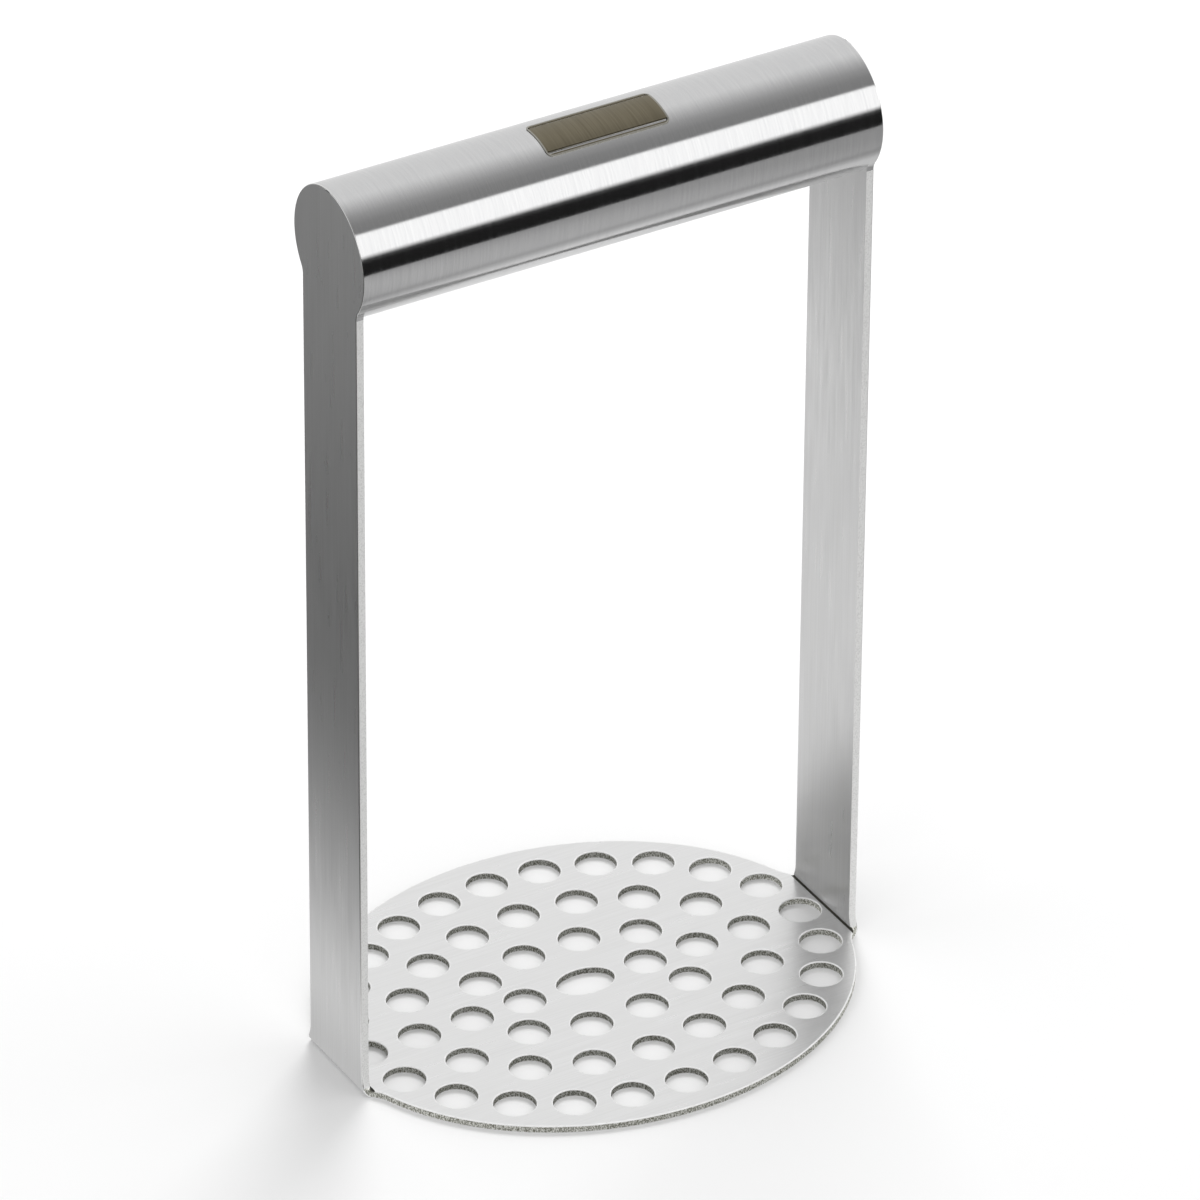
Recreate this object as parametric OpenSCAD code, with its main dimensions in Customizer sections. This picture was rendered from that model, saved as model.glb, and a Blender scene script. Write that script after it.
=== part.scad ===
// Potato masher. One bent steel sheet makes the perforated oval foot, the two uprights and the two
// end discs, and a tubular handle is welded between the discs and ground flush.
// The origin is the centre of the foot's underside, +X runs along the handle and +Z is up.

/* [Frame] */
// Width across the two uprights, outer face to outer face
frame_w = 136; // [110:1:180]
// Height of the handle's axis above the underside of the foot
handle_z = 223; // [150:1:300]
// Thickness of the sheet
sheet_t = 2; // [1.5:0.1:3]
// Radius inside the two bends
bend_inside = 0.4; // [0.2:0.1:1.5]
// Diameter of the round groove scored along the inside corner of each bend
score_d = 0.8; // [0.4:0.1:1]
// Width of the uprights
upright_w = 24.5; // [18:0.5:27]
// How far the sheet widens on each side, from the upright down to the bend
flare_out = 1.5; // [1:0.5:4.5]
// Radius of the curve by which it widens
flare_r = 8.5; // [5:0.5:15]

/* [Foot] */
// Depth of the oval foot, across the handle
foot_depth = 114; // [90:1:160]
// Diameter of the mashing holes
hole_d = 10.2; // [6:0.2:13]
// Sheet left between two holes of one ring
hole_web = 4.3; // [3:0.1:8]
// Sheet left between two rings of holes, along the handle
ring_web_x = 4.2; // [3:0.1:8]
// Sheet left between two rings of holes, across the handle
ring_web_y = 5; // [3:0.1:8]
// Sheet left between the outer ring of holes and the bends
bend_web = 0.7; // [0.6:0.1:6]
// Sheet left between the outer ring of holes and the rim
rim_web = 5; // [2:0.1:12]
// Length of the oval hole at the centre, along the handle
centre_len = 15; // [8:0.2:20]
// Width of the oval hole at the centre
centre_w = 10.2; // [6:0.2:14]
// Least sheet left beside the oval hole
centre_web = 2; // [1:0.1:5]

/* [Handle] */
// Outer diameter of the handle and of the two end discs
tube_d = 32; // [28:1:40]
// Wall of the handle
tube_wall = 1.5; // [1:0.1:3]
// Size of the weld bead in each end of the handle
weld = 0.8; // [0.4:0.1:0.9]
// Radius of the curve where each upright meets its end disc
neck_r = 4; // [2:0.5:10]

/* [Badge] */
// Length of the badge, along the handle
badge_len = 32; // [10:1:60]
// Width of the badge, across the handle
badge_w = 11.4; // [6:0.2:18]
// Radius of the badge's corners
badge_corner = 1.5; // [0.5:0.1:2.5]
// Thickness of the badge
badge_t = 0.2; // [0.1:0.05:0.5]
// Angle by which the badge's middle leans forwards from the top of the handle
badge_lean = 10.5; // [-60:0.5:60]

/* [Hidden] */
$fn = 72;

tube_r = tube_d / 2;
tube_len = frame_w - 2 * sheet_t;
bend_r = sheet_t + bend_inside;
flat_x = frame_w / 2 - bend_r;
bend_w = upright_w + 2 * flare_out;
flare_h = sqrt(flare_r * flare_r - pow(flare_r - flare_out, 2));

// The sheet keeps the bend's width for a short way before the bend and above it
run_in = 0.6;
flare_z = bend_r + run_in;

// The oval's half lengths: its rim comes in to the bend's width where that short way starts
oval_y = foot_depth / 2;
oval_x = (flat_x - run_in) / sqrt(1 - pow(bend_w / foot_depth, 2));

// Half lengths of the outer ring of hole centres, and the steps in to the next ring
ring_x = flat_x - bend_web - hole_d / 2;
ring_y = oval_y - rim_web - hole_d / 2;
step_x = hole_d + ring_web_x;
step_y = hole_d + ring_web_y;
ring_count = 1 + floor((ring_y - hole_d / 2 - centre_w / 2 - centre_web) / step_y);
inner_x = ring_x - (ring_count - 1) * step_x;
row_count = floor((inner_x - hole_d / 2 - centre_len / 2 - centre_web) / step_x);

// Places around one ring are equally far apart along its oval: a table of the distance run
// against the angle is read backwards by lookup()
ring_steps = 180;
function oval_point(a, b, angle) = [a * cos(angle), b * sin(angle)];
function chord(a, b, i) = norm(oval_point(a, b, 360 * (i + 1) / ring_steps)
                               - oval_point(a, b, 360 * i / ring_steps));
function run_table(a, b) =
    [for (i = 0, run = 0; i <= ring_steps; run = run + chord(a, b, i), i = i + 1)
        [run, 360 * i / ring_steps]];
function ring_holes(a, b) =
    let (table = run_table(a, b),
         whole = table[ring_steps][0],
         count = 2 * round(whole / (2 * (hole_d + hole_web))))
    [for (i = [0 : count - 1]) oval_point(a, b, lookup(i * whole / count, table))];

module oval(length, width) {
    scale([length, width])
        circle(d = 1);
}

module ring(index) {
    for (place = ring_holes(ring_x - index * step_x, ring_y - index * step_y))
        translate(place)
            circle(d = hole_d);
}

// Pairs of holes on the handle's line, between the innermost ring and the oval hole
module centre_row() {
    for (index = [1 : 1 : row_count], side = [-1, 1])
        translate([side * (inner_x - index * step_x), 0])
            circle(d = hole_d);
}

module foot() {
    linear_extrude(sheet_t)
        difference() {
            union() {
                intersection() {
                    oval(2 * oval_x, 2 * oval_y);
                    square([2 * (flat_x - run_in / 2), foot_depth + 1], center = true);
                }
                square([2 * flat_x, bend_w], center = true);
            }
            for (index = [0 : 1 : ring_count - 1])
                ring(index);
            centre_row();
            oval(centre_len, centre_w);
        }
}

// One upright seen along the handle: the end disc, the strip and its flare down to the bend
module upright_outline() {
    neck_y = upright_w / 2 + neck_r;
    neck_drop = sqrt(pow(tube_r + neck_r, 2) - neck_y * neck_y);
    translate([0, handle_z])
        circle(d = tube_d);
    translate([-upright_w / 2, 0])
        square([upright_w, handle_z]);
    translate([-bend_w / 2, 0])
        square([bend_w, flare_z]);
    for (side = [-1, 1]) {
        difference() {
            polygon([[0, handle_z], [side * neck_y, handle_z - neck_drop], [0, handle_z - neck_drop]]);
            translate([side * neck_y, handle_z - neck_drop])
                circle(r = neck_r);
        }
        difference() {
            translate([side * bend_w / 4, (flare_z + flare_h) / 2])
                square([bend_w / 2, flare_z + flare_h], center = true);
            translate([side * (upright_w / 2 + flare_r), flare_z + flare_h])
                circle(r = flare_r);
        }
    }
}

// The bent sheet seen from the front, down one side
module side_profile() {
    difference() {
        union() {
            translate([flat_x, bend_r])
                circle(r = bend_r);
            translate([flat_x, bend_r])
                square([bend_r, handle_z + tube_d]);
        }
        translate([0, sheet_t])
            square([frame_w / 2 - sheet_t, handle_z + tube_d]);
    }
}

module upright() {
    intersection() {
        rotate([90, 0, 0])
            linear_extrude(foot_depth, center = true)
                side_profile();
        translate([flat_x, 0, 0])
            rotate([90, 0, 90])
                linear_extrude(bend_r)
                    upright_outline();
    }
}

module score_line() {
    translate([frame_w / 2 - sheet_t, 0, sheet_t])
        rotate([90, 0, 0])
            cylinder(d = score_d, h = foot_depth, center = true);
}

module masher_frame() {
    color("silver")
        difference() {
            union() {
                foot();
                for (side = [0, 180])
                    rotate([0, 0, side])
                        upright();
            }
            for (side = [0, 180])
                rotate([0, 0, side])
                    score_line();
        }
}

module handle_tube() {
    color("lightgray")
        translate([-tube_len / 2, 0, handle_z])
            rotate([90, 0, 90])
                rotate_extrude()
                    polygon([
                        [tube_r - tube_wall, 0],
                        [tube_r - weld, 0],
                        [tube_r, weld],
                        [tube_r, tube_len - weld],
                        [tube_r - weld, tube_len],
                        [tube_r - tube_wall, tube_len]
                    ]);
}

// A three-sided ring of weld metal that fills the handle's chamfered end against the disc
module weld_bead(side) {
    color("gainsboro")
        translate([side * tube_len / 2, 0, handle_z])
            rotate([0, -side * 90, 0])
                rotate_extrude()
                    polygon([[tube_r - weld, 0], [tube_r, 0], [tube_r, weld]]);
}

module left_weld() {
    weld_bead(-1);
}

module right_weld() {
    weld_bead(1);
}

module badge_outline() {
    inner = [badge_len - 2 * badge_corner, badge_w - 2 * badge_corner];
    square([badge_len, inner[1]], center = true);
    square([inner[0], badge_w], center = true);
    for (x = [-1, 1], y = [-1, 1])
        translate([x * inner[0] / 2, y * inner[1] / 2])
            circle(r = badge_corner);
}

module badge() {
    color([0.32, 0.30, 0.24])
        translate([0, 0, handle_z])
            rotate([badge_lean, 0, 0])
                intersection() {
                    rotate([0, 90, 0])
                        difference() {
                            cylinder(r = tube_r + badge_t, h = badge_len + 1, center = true);
                            cylinder(r = tube_r, h = badge_len + 2, center = true);
                        }
                    linear_extrude(tube_d)
                        badge_outline();
                }
}

masher_frame();
handle_tube();
left_weld();
right_weld();
badge();
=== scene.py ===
from functools import cache
from math import asin, cos, pi, radians, sin, sqrt

import bmesh
import bpy
from mathutils import Matrix, Vector


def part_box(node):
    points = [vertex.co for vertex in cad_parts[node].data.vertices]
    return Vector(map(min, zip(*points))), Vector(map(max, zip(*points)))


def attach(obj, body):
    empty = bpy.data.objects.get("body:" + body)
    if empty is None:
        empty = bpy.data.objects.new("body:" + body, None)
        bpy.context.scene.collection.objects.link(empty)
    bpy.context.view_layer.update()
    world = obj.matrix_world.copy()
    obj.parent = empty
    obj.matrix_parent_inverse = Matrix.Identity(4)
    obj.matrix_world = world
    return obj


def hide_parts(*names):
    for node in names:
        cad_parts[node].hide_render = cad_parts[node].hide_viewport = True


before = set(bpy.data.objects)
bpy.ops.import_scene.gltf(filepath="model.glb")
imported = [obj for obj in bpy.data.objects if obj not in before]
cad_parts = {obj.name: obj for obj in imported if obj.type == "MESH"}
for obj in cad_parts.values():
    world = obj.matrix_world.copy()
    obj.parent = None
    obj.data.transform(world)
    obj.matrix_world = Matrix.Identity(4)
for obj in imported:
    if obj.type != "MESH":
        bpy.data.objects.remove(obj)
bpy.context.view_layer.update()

MM = 0.001
TINY = 0.001 * MM

# Sizes that the boxes of the nodes give
frame_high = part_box("masher_frame")[1]
tube_low, tube_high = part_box("handle_tube")
badge_low, badge_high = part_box("badge")
weld_low, weld_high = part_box("left_weld")

frame_half = frame_high.x
foot_half = frame_high.y
tube_half = tube_high.x
tube_r = tube_high.y
handle_z = (tube_low.z + tube_high.z) / 2
sheet_t = frame_half - tube_half
weld_size = weld_high.x - weld_low.x

# Sizes of the bent sheet that no box gives
bend_inside = 0.4 * MM
bend_r = sheet_t + bend_inside
bend_x = frame_half - bend_r
bend_run = (bend_r - sheet_t / 2) * pi / 2
oval_half = 66.98 * MM
upright_half = 12.25 * MM
fillet_r = 8.5 * MM
neck_r = 4 * MM
largest_hole = 20 * MM
score_r = 0.4 * MM
tube_wall = 1.5 * MM
sheet_edge = 0.28 * MM

# Sizes of the badge that no box gives
badge_t = 0.2 * MM
badge_w = 11.4 * MM
badge_lean = radians(10.5)
badge_corner = 1.5 * MM
badge_border = 0.3 * MM
badge_cuts = 24

# How finely the rounds are stepped
oval_sides = 288
hole_sides = 56
tube_sides = 192
groove_sides = 24
bend_steps = 10
fillet_steps = 12
neck_steps = 12
disc_steps = 72
strip_steps = 8
disc_top_half = 0.35 * MM

# The groove's cutter is turned a little, so that none of its sides lies in a face of the sheet
groove_turn = radians(5)

# Edges that turn by more than these are rounded, or stay crisp in the shading
rounded_turn = radians(35)
crisp_turn = radians(50)


# ---------------------------------------------------------------- working in edit mode

def deselect_all():
    bpy.ops.object.select_all(action="DESELECT")


def take(piece):
    """Makes a piece the only one selected, and the active one."""
    deselect_all()
    piece.select_set(True)
    bpy.context.view_layer.objects.active = piece


def added(name):
    """Names the primitive that was just added, and returns it."""
    piece = bpy.context.active_object
    piece.name = name
    piece.data.name = name
    return piece


def edit(piece, mode):
    """Opens a piece in edit mode with nothing selected."""
    take(piece)
    bpy.ops.object.mode_set(mode="EDIT")
    bpy.ops.mesh.select_mode(type=mode)
    bpy.ops.mesh.select_all(action="DESELECT")
    return bmesh.from_edit_mesh(piece.data)


def close():
    bpy.ops.object.mode_set(mode="OBJECT")


def select_all():
    bpy.ops.mesh.select_all(action="SELECT")


def select_faces(mesh, test):
    for face in mesh.faces:
        face.select_set(bool(test(face)))


def place(piece):
    """Puts a piece's place into its mesh, so that its object sits at the origin."""
    take(piece)
    bpy.ops.object.transform_apply(location=True, rotation=True, scale=True)


def apply(piece, kind, **settings):
    """Adds a modifier and applies it."""
    take(piece)
    modifier = piece.modifiers.new(kind.lower(), kind)
    for key, value in settings.items():
        setattr(modifier, key, value)
    bpy.ops.object.modifier_apply(modifier=modifier.name)


def round_edges(piece, width, keep_sharp, material):
    """Rounds the sharp edges but those to keep, and gives the narrow rounding a material slot of its own."""
    mesh = edit(piece, "EDGE")
    for edge in mesh.edges:
        edge.select_set(edge.calc_face_angle(0) > rounded_turn and not keep_sharp(edge))
    bpy.ops.mesh.bevel(offset=width, segments=2, clamp_overlap=False, material=material)
    close()


def from_axis(point):
    """From the handle's axis straight out to a point."""
    return point.yz - Vector((0, handle_z))


def under_tube(edge):
    """True on the edge of an end disc that the handle is welded to."""
    return all(abs(abs(vertex.co.x) - tube_half) < TINY and from_axis(vertex.co).length > tube_r - 0.02 * MM
               for vertex in edge.verts)


def smooth(piece):
    """Smooth shading in which the large flat faces stay flat."""
    take(piece)
    bpy.ops.object.shade_smooth_by_angle(angle=crisp_turn)
    apply(piece, "WEIGHTED_NORMAL", mode="FACE_AREA", weight=100, keep_sharp=True)


def finish(piece, slot_name, *nodes):
    """Fixes a piece to the frame's body, in place of the nodes that it stands for."""
    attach(piece, "root")
    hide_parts(*nodes)


# ---------------------------------------------------------------- the bent sheet

# The finishes of the sheet, in the order of its material slots
sheet_parts = ["face", "cut edge", "disc rim", "ground edge", "rounding", "hole rounding", "groove"]


def is_wall(face):
    """True on the upright walls of the foot: the insides of its holes, and its rim."""
    return abs(face.normal.z) < 0.1 and face.calc_center_median().z < sheet_t


def joined_walls(first):
    """The wall that a face belongs to: it and every wall face that it is joined to."""
    group = {first}
    waiting = [first]
    while waiting:
        for edge in waiting.pop().edges:
            for face in edge.link_faces:
                if is_wall(face) and face not in group:
                    group.add(face)
                    waiting.append(face)
    return group


def mashing_holes():
    """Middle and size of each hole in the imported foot. The rim is too large to be one of them."""
    mesh = bmesh.new()
    mesh.from_mesh(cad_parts["masher_frame"].data)
    bmesh.ops.remove_doubles(mesh, verts=mesh.verts, dist=TINY)
    holes = []
    seen = set()
    for face in mesh.faces:
        if face in seen or not is_wall(face):
            continue
        wall = joined_walls(face)
        seen |= wall
        corners = [vertex.co.xy for part in wall for vertex in part.verts]
        low = Vector((min(corner.x for corner in corners), min(corner.y for corner in corners)))
        high = Vector((max(corner.x for corner in corners), max(corner.y for corner in corners)))
        if max(high - low) < largest_hole:
            holes.append(((low + high) / 2, high - low))
    mesh.free()
    return holes


def oval_fillet():
    """Where the round that joins the oval's rim to an upright starts, and how far along its middle lies."""
    low, high = 0, pi / 2
    for _ in range(40):
        turn = (low + high) / 2
        out = Vector((cos(turn) / oval_half, sin(turn) / foot_half)).normalized()
        rim = Vector((oval_half * cos(turn), foot_half * sin(turn)))
        if rim.y + fillet_r * out.y < upright_half + fillet_r:
            low = turn
        else:
            high = turn
    return rim, rim.x + fillet_r * out.x


def fillet_half(run):
    """Half width of the sheet at a distance run from the middle of the foot, on the round."""
    rest = max(oval_fillet()[1] - run, 0)
    return upright_half + fillet_r - sqrt(fillet_r ** 2 - rest ** 2)


def foot_blank():
    """The oval plate with its two ends narrowing to the bends, before it is drilled and bent."""
    rim = oval_fillet()[0]
    bpy.ops.mesh.primitive_cylinder_add(vertices=oval_sides, radius=1, depth=sheet_t, end_fill_type="NGON",
                                        location=(0, 0, sheet_t / 2))
    blank = added("frame_sheet")
    blank.scale = (oval_half, foot_half, 1)
    place(blank)
    for side in (-1, 1):
        edit(blank, "FACE")
        select_all()
        bpy.ops.mesh.bisect(plane_co=(side * rim.x, 0, 0), plane_no=(side, 0, 0), clear_outer=True,
                            use_fill=True, threshold=TINY)
        mesh = bmesh.from_edit_mesh(blank.data)
        select_faces(mesh, lambda face: face.normal.x * side > 0.99
                     and face.calc_center_median().x * side > rim.x - TINY)
        run, half = rim
        for i in range(1, fillet_steps + 1):
            next_run = rim.x + (bend_x - rim.x) * i / fillet_steps
            step = side * (next_run - run)
            bpy.ops.mesh.extrude_region_move(TRANSFORM_OT_translate={"value": (step, 0, 0)})
            bpy.ops.transform.resize(value=(1, fillet_half(next_run) / half, 1),
                                     center_override=(side * next_run, 0, 0))
            run, half = next_run, fillet_half(next_run)
        close()
    edit(blank, "FACE")
    select_all()
    bpy.ops.mesh.dissolve_limited(angle_limit=radians(0.1))
    close()
    return blank


def drill(blank):
    """Cuts the mashing holes and the oval hole at the centre."""
    cutters = []
    for centre, size in mashing_holes():
        bpy.ops.mesh.primitive_cylinder_add(vertices=hole_sides, radius=0.5, depth=4 * sheet_t,
                                            location=(centre.x, centre.y, sheet_t / 2))
        cutter = added("cutter")
        cutter.scale = (size.x, size.y, 1)
        cutters.append(cutter)
    deselect_all()
    for cutter in cutters:
        cutter.select_set(True)
    bpy.context.view_layer.objects.active = cutters[0]
    bpy.ops.object.join()
    drills = bpy.context.active_object
    place(drills)
    apply(blank, "BOOLEAN", object=drills, operation="DIFFERENCE", solver="EXACT")
    bpy.data.objects.remove(drills)


def upright_steps():
    """Height and half width of the upright, from above the bend to the top of the end disc."""
    fillet_top = bend_r + oval_fillet()[1] - bend_x - bend_run
    steps = []
    for i in range(1, fillet_steps + 1):
        height = bend_r + (fillet_top - bend_r) * i / fillet_steps
        steps.append((height, fillet_half(bend_x + bend_run + height - bend_r)))
    neck_y = upright_half + neck_r
    neck_turn = asin(neck_y / (tube_r + neck_r))
    neck_z = handle_z - (tube_r + neck_r) * cos(neck_turn)
    for i in range(1, strip_steps):
        steps.append((fillet_top + (neck_z - fillet_top) * i / strip_steps, upright_half))
    for i in range(neck_steps + 1):
        turn = (pi / 2 - neck_turn) * i / neck_steps
        steps.append((neck_z + neck_r * sin(turn), neck_y - neck_r * cos(turn)))
    for i in range(1, disc_steps + 1):
        turn = neck_turn + (pi - neck_turn) * i / disc_steps
        steps.append((handle_z - tube_r * cos(turn), max(tube_r * sin(turn), disc_top_half)))
    return steps


def bend_up(blank, side):
    """Turns one end of the plate up by a quarter turn, and draws the upright and its disc out of it."""
    mesh = edit(blank, "FACE")
    select_faces(mesh, lambda face: face.normal.x * side > 0.99
                 and abs(face.calc_center_median().x * side - bend_x) < 10 * TINY)
    half = fillet_half(bend_x)
    for i in range(1, bend_steps + 1):
        bpy.ops.mesh.spin(steps=1, angle=side * pi / 2 / bend_steps, center=(side * bend_x, 0, bend_r),
                          axis=(0, 1, 0))
        next_half = fillet_half(bend_x + bend_run * i / bend_steps)
        bpy.ops.transform.resize(value=(1, next_half / half, 1), center_override=(0, 0, 0))
        half = next_half
    height = bend_r
    for next_height, next_half in upright_steps():
        bpy.ops.mesh.extrude_region_move(TRANSFORM_OT_translate={"value": (0, 0, next_height - height)})
        bpy.ops.transform.resize(value=(1, next_half / half, 1), center_override=(0, 0, next_height))
        height, half = next_height, next_half
    close()


def score(sheet):
    """Cuts the round groove along the inside corner of each bend."""
    for side in (-1, 1):
        bpy.ops.mesh.primitive_cylinder_add(vertices=groove_sides, radius=score_r, depth=3 * foot_half,
                                            location=(side * tube_half, 0, sheet_t),
                                            rotation=(pi / 2, groove_turn, 0))
        cutter = added("score_cutter")
        place(cutter)
        apply(sheet, "BOOLEAN", object=cutter, operation="DIFFERENCE", solver="EXACT")
        bpy.data.objects.remove(cutter)


def sheet_part(face):
    """Which finish a face of the sheet has, by where it lies."""
    middle, normal = face.calc_center_median(), face.normal
    if Vector((abs(middle.x) - tube_half, middle.z - sheet_t)).length < score_r + TINY:
        return "groove"
    if face.material_index == sheet_parts.index("rounding"):
        return "hole rounding" if middle.z < sheet_t else "rounding"
    if abs(normal.x) < 0.5 and middle.z > handle_z - tube_r + 1 * MM \
            and from_axis(middle).length > tube_r - 1 * MM:
        return "disc rim"
    if middle.z < sheet_t + TINY and abs(middle.x) < bend_x:
        return "cut edge" if abs(normal.z) < 0.5 else "face"
    if middle.z < bend_r:
        if abs(normal.y) < 0.6:
            return "face"
        return "cut edge" if abs(middle.x) < frame_half - sheet_t / 2 else "ground edge"
    return "ground edge" if abs(normal.x) < 0.5 else "face"


def make_frame_sheet():
    sheet = foot_blank()
    drill(sheet)
    for side in (-1, 1):
        bend_up(sheet, side)
    for material in (strip_steel(), cut_steel(), tube_steel(), edge_steel(), burnished_steel(),
                     hole_edge_highlight(), groove_shaded_steel()):
        sheet.data.materials.append(material)
    round_edges(sheet, sheet_edge, under_tube, material=sheet_parts.index("rounding"))
    score(sheet)
    mesh = bmesh.new()
    mesh.from_mesh(sheet.data)
    for face in mesh.faces:
        face.material_index = sheet_parts.index(sheet_part(face))
    mesh.to_mesh(sheet.data)
    mesh.free()
    lay_brush_map(sheet, strip_run)
    smooth(sheet)
    finish(sheet, "sheet_steel", "masher_frame")


# ---------------------------------------------------------------- the handle

def make_tube():
    """The handle: a hollow tube with its ends chamfered for the welds."""
    bpy.ops.mesh.primitive_cylinder_add(vertices=tube_sides, radius=tube_r, depth=2 * tube_half,
                                        end_fill_type="NOTHING", location=(0, 0, handle_z),
                                        rotation=(0, pi / 2, 0))
    tube = added("tube")
    place(tube)
    edit(tube, "EDGE")
    for side in (-1, 1):
        select_all()
        bpy.ops.mesh.bisect(plane_co=(side * (tube_half - weld_size), 0, 0), plane_no=(1, 0, 0),
                            threshold=TINY)
    bpy.ops.mesh.select_all(action="DESELECT")
    mesh = bmesh.from_edit_mesh(tube.data)
    for vertex in mesh.verts:
        vertex.select_set(abs(vertex.co.x) > tube_half - 10 * TINY)
    narrow = (tube_r - weld_size) / tube_r
    bpy.ops.transform.resize(value=(1, narrow, narrow), center_override=(0, 0, handle_z))
    close()
    apply(tube, "SOLIDIFY", thickness=tube_wall, offset=-1, use_even_offset=True)
    tube.data.materials.append(tube_steel())
    lay_brush_map(tube, round_run)
    smooth(tube)
    finish(tube, "tube_steel", "handle_tube")
    return tube


def make_weld(name, side):
    """A weld bead ground flush: a three-sided ring that fills the tube's chamfer against the disc."""
    narrow = (tube_r - weld_size) / tube_r
    bpy.ops.mesh.primitive_circle_add(vertices=tube_sides, radius=tube_r,
                                      location=(side * tube_half, 0, handle_z), rotation=(0, pi / 2, 0))
    weld = added(name + "_bead")
    place(weld)
    edit(weld, "EDGE")
    select_all()
    bpy.ops.mesh.extrude_region_move(TRANSFORM_OT_translate={"value": (-side * weld_size, 0, 0)})
    bpy.ops.mesh.extrude_region_move(TRANSFORM_OT_translate={"value": (side * weld_size, 0, 0)})
    bpy.ops.transform.resize(value=(1, narrow, narrow), center_override=(0, 0, handle_z))
    select_all()
    bpy.ops.mesh.remove_doubles(threshold=TINY)
    bpy.ops.mesh.select_all(action="DESELECT")
    mesh = bmesh.from_edit_mesh(weld.data)
    for edge in mesh.edges:
        edge.select_set(edge.is_boundary)
    bpy.ops.mesh.bridge_edge_loops()
    select_all()
    bpy.ops.mesh.normals_make_consistent(inside=False)
    close()
    weld.data.materials.append(tube_steel())
    lay_brush_map(weld, round_run)
    smooth(weld)
    finish(weld, "weld_steel", name)


# ---------------------------------------------------------------- the badge

def is_badge_top(face):
    """True on the outer face of the badge."""
    out = from_axis(face.calc_center_median())
    return out.length > tube_r + 0.75 * badge_t and out.normalized().dot(face.normal.yz) > 0.7


def make_badge(tube):
    """A thin bronze plate bent to the tube, with rounded corners and a fine raised line round it."""
    bpy.ops.mesh.primitive_plane_add(size=1, location=(0, 0, handle_z))
    badge = added("badge_plate")
    badge.data.transform(Matrix.Diagonal((badge_high.x - badge_low.x, badge_w, 1, 1)))
    badge.data.transform(Matrix.Translation((0, 0, 2 * tube_r)))
    badge.rotation_euler.x = badge_lean
    edit(badge, "VERT")
    select_all()
    bpy.ops.mesh.bevel(offset=badge_corner, segments=8, affect="VERTICES")
    close()
    edit(badge, "VERT")
    for i in range(1, badge_cuts):
        select_all()
        across = badge.matrix_world @ Vector((0, badge_w * (i / badge_cuts - 0.5), 0))
        bpy.ops.mesh.bisect(plane_co=across, plane_no=(0, cos(badge_lean), sin(badge_lean)),
                            threshold=TINY)
    close()
    apply(badge, "SHRINKWRAP", target=tube, wrap_method="PROJECT", use_project_z=True,
          use_negative_direction=True, use_positive_direction=False, wrap_mode="ABOVE_SURFACE",
          offset=badge_t)
    place(badge)
    apply(badge, "SOLIDIFY", thickness=badge_t, offset=-1)
    mesh = edit(badge, "FACE")
    select_faces(mesh, is_badge_top)
    bpy.ops.mesh.inset(thickness=0.05 * MM, depth=0)
    bpy.ops.mesh.inset(thickness=badge_border, depth=0)
    bpy.ops.mesh.inset(thickness=0.06 * MM, depth=-0.05 * MM)
    badge.data.materials.append(badge_line())
    badge.data.materials.append(badge_bronze())
    for face in bmesh.from_edit_mesh(badge.data).faces:
        face.material_index = int(face.select)
    close()
    smooth(badge)
    finish(badge, "badge_steel", "badge")


# ---------------------------------------------------------------- brush direction

def strip_run(corner, middle):
    """Distance run along the sheet from the middle of the foot, and across it."""
    if middle.z < bend_r and abs(middle.x) < bend_x:
        return corner.x, corner.y
    side = 1 if middle.x > 0 else -1
    return side * (frame_half + corner.z), corner.y


def round_run(corner, middle):
    """Distance run round the handle, and along it. It is counted from the face's middle, so that no
    face is torn where the count starts again."""
    start = from_axis(middle)
    turn = Vector((0, 1)).angle_signed(start, 0) + start.angle_signed(from_axis(corner), 0)
    return turn * tube_r, corner.x


def lay_brush_map(piece, run):
    """A UV map whose U runs across the brush lines: it only gives the highlight its direction."""
    layer = piece.data.uv_layers.new(name="brush")
    vertices = piece.data.vertices
    for face in piece.data.polygons:
        rule = round_run if face.material_index == sheet_parts.index("disc rim") else run
        for loop in face.loop_indices:
            corner = vertices[piece.data.loops[loop].vertex_index].co
            along, across = rule(corner, face.center)
            layer.data[loop].uv = (across, along)


# ---------------------------------------------------------------- materials

def material_nodes(name):
    """A new material, its node tree, and its shader."""
    material = bpy.data.materials.new(name)
    material.use_nodes = True
    nodes = material.node_tree.nodes
    return material, material.node_tree, nodes["Principled BSDF"]


def node(tree, kind, **settings):
    """Adds a node and sets its properties."""
    made = tree.nodes.new(kind)
    for key, value in settings.items():
        setattr(made, key, value)
    return made


def streaks(tree, scale, detail=3, roughness=0.55):
    """Noise on Object coordinates, drawn out by a different scale along each axis."""
    coords = node(tree, "ShaderNodeTexCoord")
    mapping = node(tree, "ShaderNodeMapping")
    mapping.inputs["Scale"].default_value = scale
    noise = node(tree, "ShaderNodeTexNoise")
    noise.inputs["Scale"].default_value = 1
    noise.inputs["Detail"].default_value = detail
    noise.inputs["Roughness"].default_value = roughness
    tree.links.new(coords.outputs["Object"], mapping.inputs["Vector"])
    tree.links.new(mapping.outputs["Vector"], noise.inputs["Vector"])
    return noise.outputs["Fac"]


def spread(tree, value, low, high, start=0.3, end=0.7):
    """Turns the middle of a noise into a range of values."""
    made = node(tree, "ShaderNodeMapRange")
    made.inputs["From Min"].default_value = start
    made.inputs["From Max"].default_value = end
    made.inputs["To Min"].default_value = low
    made.inputs["To Max"].default_value = high
    tree.links.new(value, made.inputs["Value"])
    return made.outputs["Result"]


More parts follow.
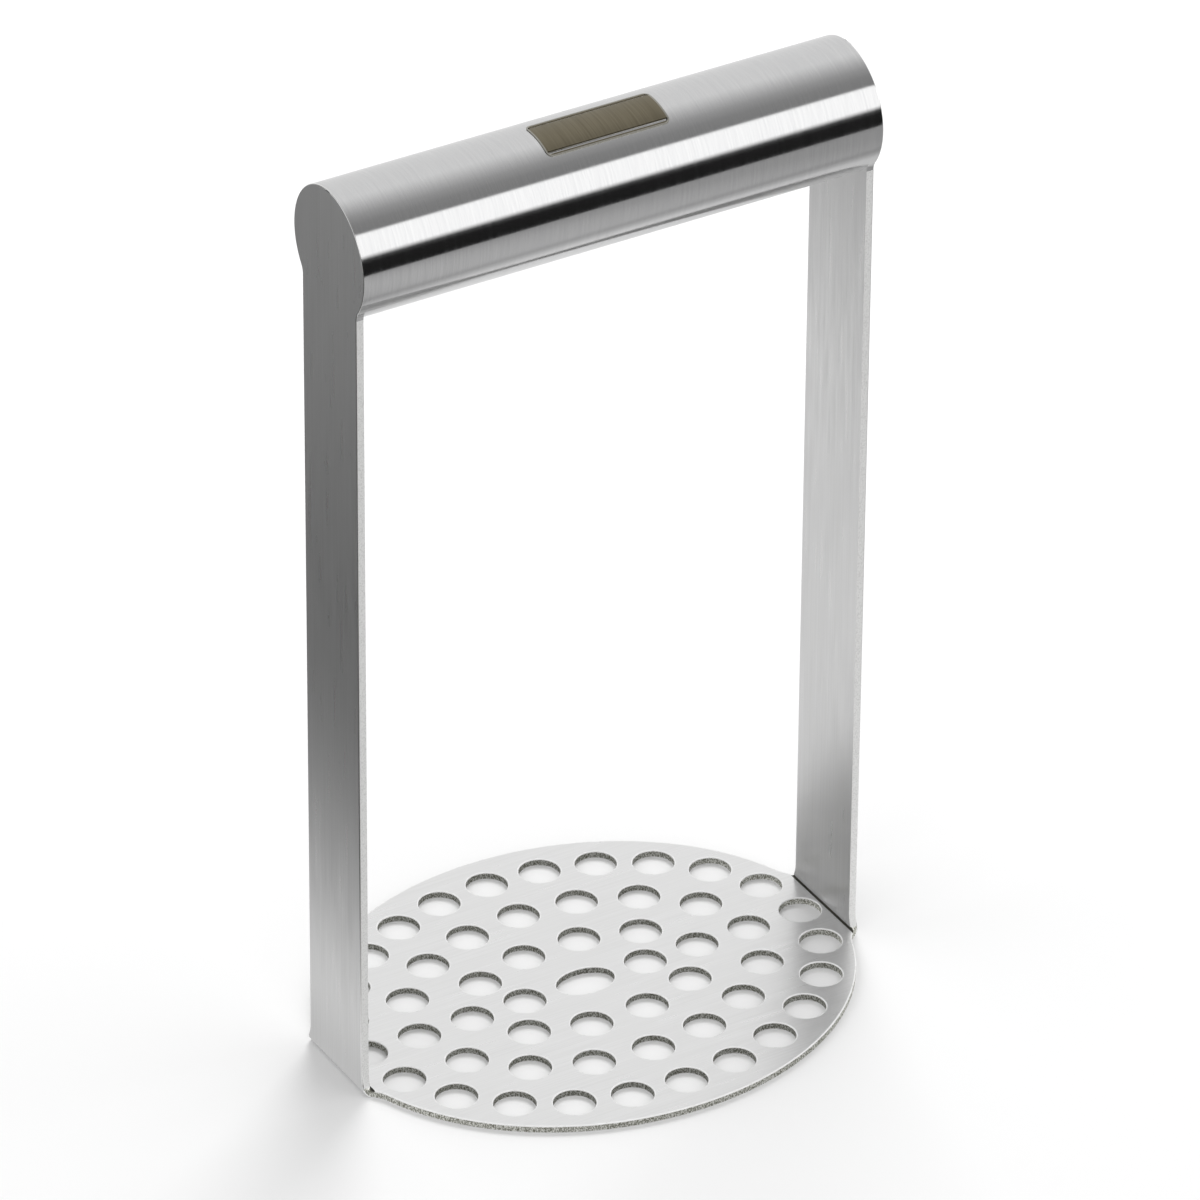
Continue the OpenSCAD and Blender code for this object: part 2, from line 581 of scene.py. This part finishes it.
def tinted(tree, factor, dark, light):
    """Runs from a dark tint to a light one."""
    made = node(tree, "ShaderNodeMix", data_type="RGBA")
    made.inputs[6].default_value = (*dark, 1)
    made.inputs[7].default_value = (*light, 1)
    tree.links.new(factor, made.inputs[0])
    return made.outputs[2]


def bumped(tree, height, strength, distance):
    """The surface's normal with fine bumps on it."""
    made = node(tree, "ShaderNodeBump")
    made.inputs["Strength"].default_value = strength
    made.inputs["Distance"].default_value = distance
    tree.links.new(height, made.inputs["Height"])
    return made.outputs["Normal"]


def brushed_steel(name, fine, long, dark, light, rough, anisotropy, depth):
    """Brushed stainless steel: fine is the scale across the brush lines, long the scale along them."""
    material, tree, shader = material_nodes(name)
    shader.inputs["Metallic"].default_value = 1
    shader.inputs["Anisotropic"].default_value = anisotropy
    lines = streaks(tree, fine)
    bands = streaks(tree, long, detail=2)
    tint = tinted(tree, spread(tree, lines, 0, 1), dark, light)
    tree.links.new(tint, shader.inputs["Base Color"])
    tree.links.new(spread(tree, bands, *rough), shader.inputs["Roughness"])
    tree.links.new(bumped(tree, lines, depth, 0.01 * MM), shader.inputs["Normal"])
    if anisotropy:
        tangent = node(tree, "ShaderNodeTangent", direction_type="UV_MAP", uv_map="brush")
        tree.links.new(tangent.outputs["Tangent"], shader.inputs["Tangent"])
    return material


@cache
def strip_steel():
    """The sheet's flat faces: a satin finish brushed along the strip."""
    return brushed_steel("strip_steel", fine=(25, 3200, 25), long=(50, 700, 50), dark=(0.84, 0.84, 0.835),
                         light=(0.90, 0.90, 0.90), rough=(0.27, 0.35), anisotropy=0.5, depth=0.05)


@cache
def tube_steel():
    """The handle and the rims of the discs: a finer finish, turned round the handle."""
    return brushed_steel("tube_steel", fine=(3600, 110, 110), long=(900, 40, 40), dark=(0.64, 0.64, 0.645),
                         light=(0.69, 0.69, 0.69), rough=(0.11, 0.17), anisotropy=0.9, depth=0.08)


@cache
def edge_steel():
    """The uprights' edges, ground smooth and a little pitted."""
    material, tree, shader = material_nodes("edge_steel")
    shader.inputs["Metallic"].default_value = 0.4
    pits = streaks(tree, (4200, 4200, 3200), detail=2)
    tint = tinted(tree, spread(tree, pits, 0, 1, 0.3, 0.55), (0.72, 0.72, 0.71), (0.89, 0.89, 0.88))
    tree.links.new(tint, shader.inputs["Base Color"])
    tree.links.new(spread(tree, pits, 0.6, 0.45), shader.inputs["Roughness"])
    tree.links.new(bumped(tree, pits, 0.12, 0.05 * MM), shader.inputs["Normal"])
    return material


def rounded_steel(name, metallic, rough):
    """The narrow rounding of the sheet's edges, polished by tumbling, near white. Where it has little metal,
    as on the holes' rims, the near-white tint is a painted highlight.
    """
    material, tree, shader = material_nodes(name)
    shader.inputs["Metallic"].default_value = metallic
    wear_and_sheen = streaks(tree, (400, 400, 400), detail=2)
    tint = tinted(tree, spread(tree, wear_and_sheen, 0, 1), (0.90, 0.90, 0.89), (0.98, 0.98, 0.98))
    tree.links.new(tint, shader.inputs["Base Color"])
    tree.links.new(spread(tree, wear_and_sheen, *rough), shader.inputs["Roughness"])
    return material


@cache
def burnished_steel():
    return rounded_steel("burnished_steel", 1, (0.09, 0.17))


# The holes' rims: near white and barely metal, a painted highlight along them.
@cache
def hole_edge_highlight():
    return rounded_steel("hole_edge_highlight", 0.1, (0.25, 0.35))


@cache
def groove_shaded_steel():
    """The scored groove, left dull because no brush reaches it, and painted near black as shade in the
    crease.
    """
    material, tree, shader = material_nodes("groove_shaded_steel")
    shader.inputs["Metallic"].default_value = 1
    painted_shade = streaks(tree, (900, 500, 900), detail=2)
    # Painted shade: the near-black tint stands in for the shade inside the groove.
    tint = tinted(tree, spread(tree, painted_shade, 0, 1), (0.10, 0.10, 0.09), (0.22, 0.21, 0.18))
    tree.links.new(tint, shader.inputs["Base Color"])
    tree.links.new(spread(tree, painted_shade, 0.4, 0.6), shader.inputs["Roughness"])
    return material


@cache
def badge_line():
    """The fine raised line round the badge."""
    return brushed_steel("badge_line", fine=(3600, 60, 60), long=(900, 40, 40), dark=(0.33, 0.32, 0.28),
                         light=(0.44, 0.43, 0.39), rough=(0.3, 0.4), anisotropy=0, depth=0.05)


@cache
def badge_bronze():
    """Dark bronze on the badge, brushed the same way as the tube under it."""
    return brushed_steel("badge_bronze", fine=(3000, 60, 60), long=(900, 40, 40), dark=(0.165, 0.145, 0.10),
                         light=(0.215, 0.19, 0.135), rough=(0.3, 0.4), anisotropy=0, depth=0.06)


@cache
def cut_steel():
    """The bare edge that the laser leaves: pitted, olive-grey, with bright specks. Its dark olive-grey is
    partly the cut edge's own colour and partly painted shade for the walls inside the holes.
    """
    material, tree, shader = material_nodes("cut_steel")
    shader.inputs["Metallic"].default_value = 1
    pits = streaks(tree, (2900, 2900, 2200), detail=3, roughness=0.65)
    # Partly painted shade: the dark end of this tint also darkens the hole walls as their shade would.
    tint = tinted(tree, spread(tree, pits, 0, 1, 0.42, 0.58), (0.26, 0.26, 0.21), (0.95, 0.95, 0.90))
    tree.links.new(tint, shader.inputs["Base Color"])
    tree.links.new(spread(tree, pits, 0.65, 0.35), shader.inputs["Roughness"])
    tree.links.new(bumped(tree, pits, 0.8, 0.1 * MM), shader.inputs["Normal"])
    return material


# ---------------------------------------------------------------- studio

table_reach = 0.625


def ramped(tree, value, reach, stops, scale=1):
    """A ramp of greys over a value that runs from -reach to reach; the stops may be on another scale."""
    spot = node(tree, "ShaderNodeMapRange")
    spot.inputs["From Min"].default_value = -reach
    spot.inputs["From Max"].default_value = reach
    tree.links.new(value, spot.inputs["Value"])
    ramp = node(tree, "ShaderNodeValToRGB")
    points = ramp.color_ramp.elements
    while len(points) < len(stops):
        points.new(0.5)
    for point, (here, grey) in zip(points, stops):
        point.position = (here / scale + 1) / 2
        point.color = (grey, grey, grey, 1)
    tree.links.new(spot.outputs["Result"], ramp.inputs["Fac"])
    return ramp.outputs["Color"]


def product(tree, one, other):
    """One value times another."""
    made = node(tree, "ShaderNodeMath", operation="MULTIPLY")
    tree.links.new(one, made.inputs[0])
    tree.links.new(other, made.inputs[1])
    return made.outputs[0]


def mixed(tree, factor, one, other):
    """A colour that runs from one to the other."""
    made = node(tree, "ShaderNodeMix", data_type="RGBA")
    tree.links.new(factor, made.inputs[0])
    tree.links.new(one, made.inputs[6])
    tree.links.new(other, made.inputs[7])
    return made.outputs[2]


def first_mirror(tree):
    """1 for what the steel itself mirrors, 0 for the light that it throws on the floor and for all else."""
    path = node(tree, "ShaderNodeLightPath")
    direct = node(tree, "ShaderNodeMath", operation="LESS_THAN")
    direct.inputs[1].default_value = 0.5
    tree.links.new(path.outputs["Diffuse Depth"], direct.inputs[0])
    return product(tree, path.outputs["Is Glossy Ray"], direct.outputs[0])


def make_world():
    """A plain pale room. What the steel mirrors runs round the handle from a bright back wall over a dim
    ceiling to one long soft light in front, with a dark room under it. It is dimmer on the left. Its stops
    are degrees from straight up towards the front, and the light there."""
    world = bpy.data.worlds.new("studio")
    bpy.context.scene.world = world
    world.use_nodes = True
    tree = world.node_tree
    background = tree.nodes["Background"]
    coords = node(tree, "ShaderNodeTexCoord")
    split = node(tree, "ShaderNodeSeparateXYZ")
    tree.links.new(coords.outputs["Generated"], split.inputs[0])
    front = node(tree, "ShaderNodeMath", operation="MULTIPLY")
    front.inputs[1].default_value = -1
    tree.links.new(split.outputs["Y"], front.inputs[0])
    turn = node(tree, "ShaderNodeMath", operation="ARCTAN2")
    tree.links.new(front.outputs[0], turn.inputs[0])
    tree.links.new(split.outputs["Z"], turn.inputs[1])
    grey = ramped(tree, turn.outputs[0], pi, [
        (-150, 0.58), (-24, 0.58), (-16, 0.52), (-2, 0.38), (10, 0.27), (24, 0.20), (40, 0.18), (43, 0.93),
        (76, 0.93), (83, 0.05), (89, 0.01), (108, 0.01), (130, 0.3)], 180)
    sideways = ramped(tree, split.outputs["X"], 1, [
        (-1, 0.80), (-0.64, 0.80), (-0.52, 0.27), (-0.35, 0.27), (-0.18, 0.5), (-0.02, 0.85), (0.12, 1.0)])
    mirrored = node(tree, "ShaderNodeMix", data_type="RGBA", blend_type="MULTIPLY")
    mirrored.inputs[0].default_value = 1
    tree.links.new(grey, mirrored.inputs[6])
    tree.links.new(sideways, mirrored.inputs[7])
    path = node(tree, "ShaderNodeLightPath")
    plain = node(tree, "ShaderNodeMix")
    tree.links.new(path.outputs["Is Camera Ray"], plain.inputs[0])
    room_light, thrown_by_steel, wall_seen = 0.86, 0.3, 0.80
    tree.links.new(spread(tree, path.outputs["Is Glossy Ray"], room_light, thrown_by_steel, 0, 1),
                   plain.inputs[2])
    plain.inputs[3].default_value = wall_seen
    seen = mixed(tree, first_mirror(tree), plain.outputs[0], mirrored.outputs[2])
    tree.links.new(seen, background.inputs["Color"])
    tree.links.new(spread(tree, first_mirror(tree), 1, 1.5, 0, 1), background.inputs["Strength"])


def make_floor():
    """A plain pale floor."""
    bpy.ops.mesh.primitive_plane_add(size=8, location=(0, 0, 0))
    floor = added("floor")
    material, tree, shader = material_nodes("floor_paper")
    shader.inputs["Base Color"].default_value = (0.93, 0.93, 0.93, 1)
    shader.inputs["Roughness"].default_value = 0.9
    shader.inputs["Specular IOR Level"].default_value = 0.1
    floor.data.materials.append(material)
    floor.visible_glossy = False


def make_table_glow():
    """What the steel mirrors of the table: light round the object, dim to the left and in front."""
    bpy.ops.mesh.primitive_plane_add(size=2 * table_reach, location=(0, 0, -0.5 * MM))
    glow = added("table_glow")
    place(glow)
    material = bpy.data.materials.new("table_glow")
    material.use_nodes = True
    tree = material.node_tree
    tree.nodes.clear()
    out = node(tree, "ShaderNodeOutputMaterial")
    light = node(tree, "ShaderNodeEmission")
    coords = node(tree, "ShaderNodeTexCoord")
    split = node(tree, "ShaderNodeSeparateXYZ")
    tree.links.new(coords.outputs["Object"], split.inputs[0])
    # Painted shadow: the glow dips just left of the left upright, for its contact shadow on the table.
    across = ramped(tree, split.outputs["X"], table_reach, [
        (-0.60, 0.17), (-0.24, 0.14), (-0.17, 0.08), (-0.145, 0.11), (-0.12, 0.30), (-0.10, 0.58),
        (-0.088, 0.74), (-0.074, 0.58), (-0.05, 0.72), (0.03, 0.74), (0.07, 0.88), (0.10, 0.88),
        (0.17, 0.75), (0.23, 0.60), (0.60, 0.5)], table_reach)
    # Painted shadow: the glow is darkest a little in front of the foot, for the shadow there.
    deep = ramped(tree, split.outputs["Y"], table_reach, [
        (-0.60, 0.66), (-0.14, 0.66), (-0.10, 0.52), (-0.06, 0.75), (-0.03, 1.0), (0.16, 1.0), (0.28, 1.5),
        (0.60, 1.6)], table_reach)
    middle = node(tree, "ShaderNodeMapping")
    middle.inputs["Scale"].default_value = (1 / bend_x, 1 / foot_half, 0)
    tree.links.new(coords.outputs["Object"], middle.inputs["Vector"])
    away = node(tree, "ShaderNodeVectorMath", operation="LENGTH")
    tree.links.new(middle.outputs["Vector"], away.inputs[0])
    # Painted shadow: beneath the foot the glow is cut to 0.3, for the foot's shadow on the table.
    under = spread(tree, away.outputs["Value"], 0.3, 1.0, 0.9, 1.06)
    strength = product(tree, product(tree, across, deep), under)
    tree.links.new(strength, light.inputs["Strength"])
    tree.links.new(light.outputs[0], out.inputs["Surface"])
    glow.data.materials.append(material)
    for kind in ("visible_camera", "visible_diffuse", "visible_shadow", "visible_transmission",
                 "visible_volume_scatter"):
        setattr(glow, kind, False)


def make_lights():
    """One broad soft light from the right and above, for the shadow on the floor."""
    bpy.ops.object.light_add(type="AREA", location=(0.6, 0.75, 1.3))
    lamp = bpy.context.active_object
    lamp.data.shape = "DISK"
    lamp.data.size = 0.7
    lamp.data.energy = 8.5
    lamp.rotation_euler = (Vector((0, 0, 0.05)) - lamp.location).to_track_quat("-Z", "Y").to_euler()
    lamp.visible_glossy = False


def make_camera():
    """A far camera, above and to the left of the front."""
    azimuth, elevation, roll = radians(-30.743), radians(32.587), radians(0.445)
    distance = 2.379
    back = Vector((sin(azimuth) * cos(elevation), -cos(azimuth) * cos(elevation), sin(elevation)))
    side = Vector((cos(azimuth), sin(azimuth), 0))
    up = back.cross(side)
    right = cos(roll) * side + sin(roll) * up
    above = -sin(roll) * side + cos(roll) * up
    middle = Vector((0, 0, 0.1)) + 2.835 * MM * right + 7.895 * MM * above
    bpy.ops.object.camera_add()
    camera = bpy.context.active_object
    camera.name = "camera"
    turn = Matrix((right, above, back)).transposed().to_4x4()
    camera.matrix_world = Matrix.Translation(middle + distance * back) @ turn
    camera.data.lens = 306.84
    camera.data.sensor_width = 36
    camera.data.clip_end = 50
    bpy.context.scene.camera = camera


# ---------------------------------------------------------------- the whole object and its room

make_frame_sheet()
handle = make_tube()
make_weld("left_weld", -1)
make_weld("right_weld", 1)
make_badge(handle)

make_world()
make_floor()
make_table_glow()
make_lights()
bpy.context.scene.view_settings.view_transform = "Standard"
make_camera()
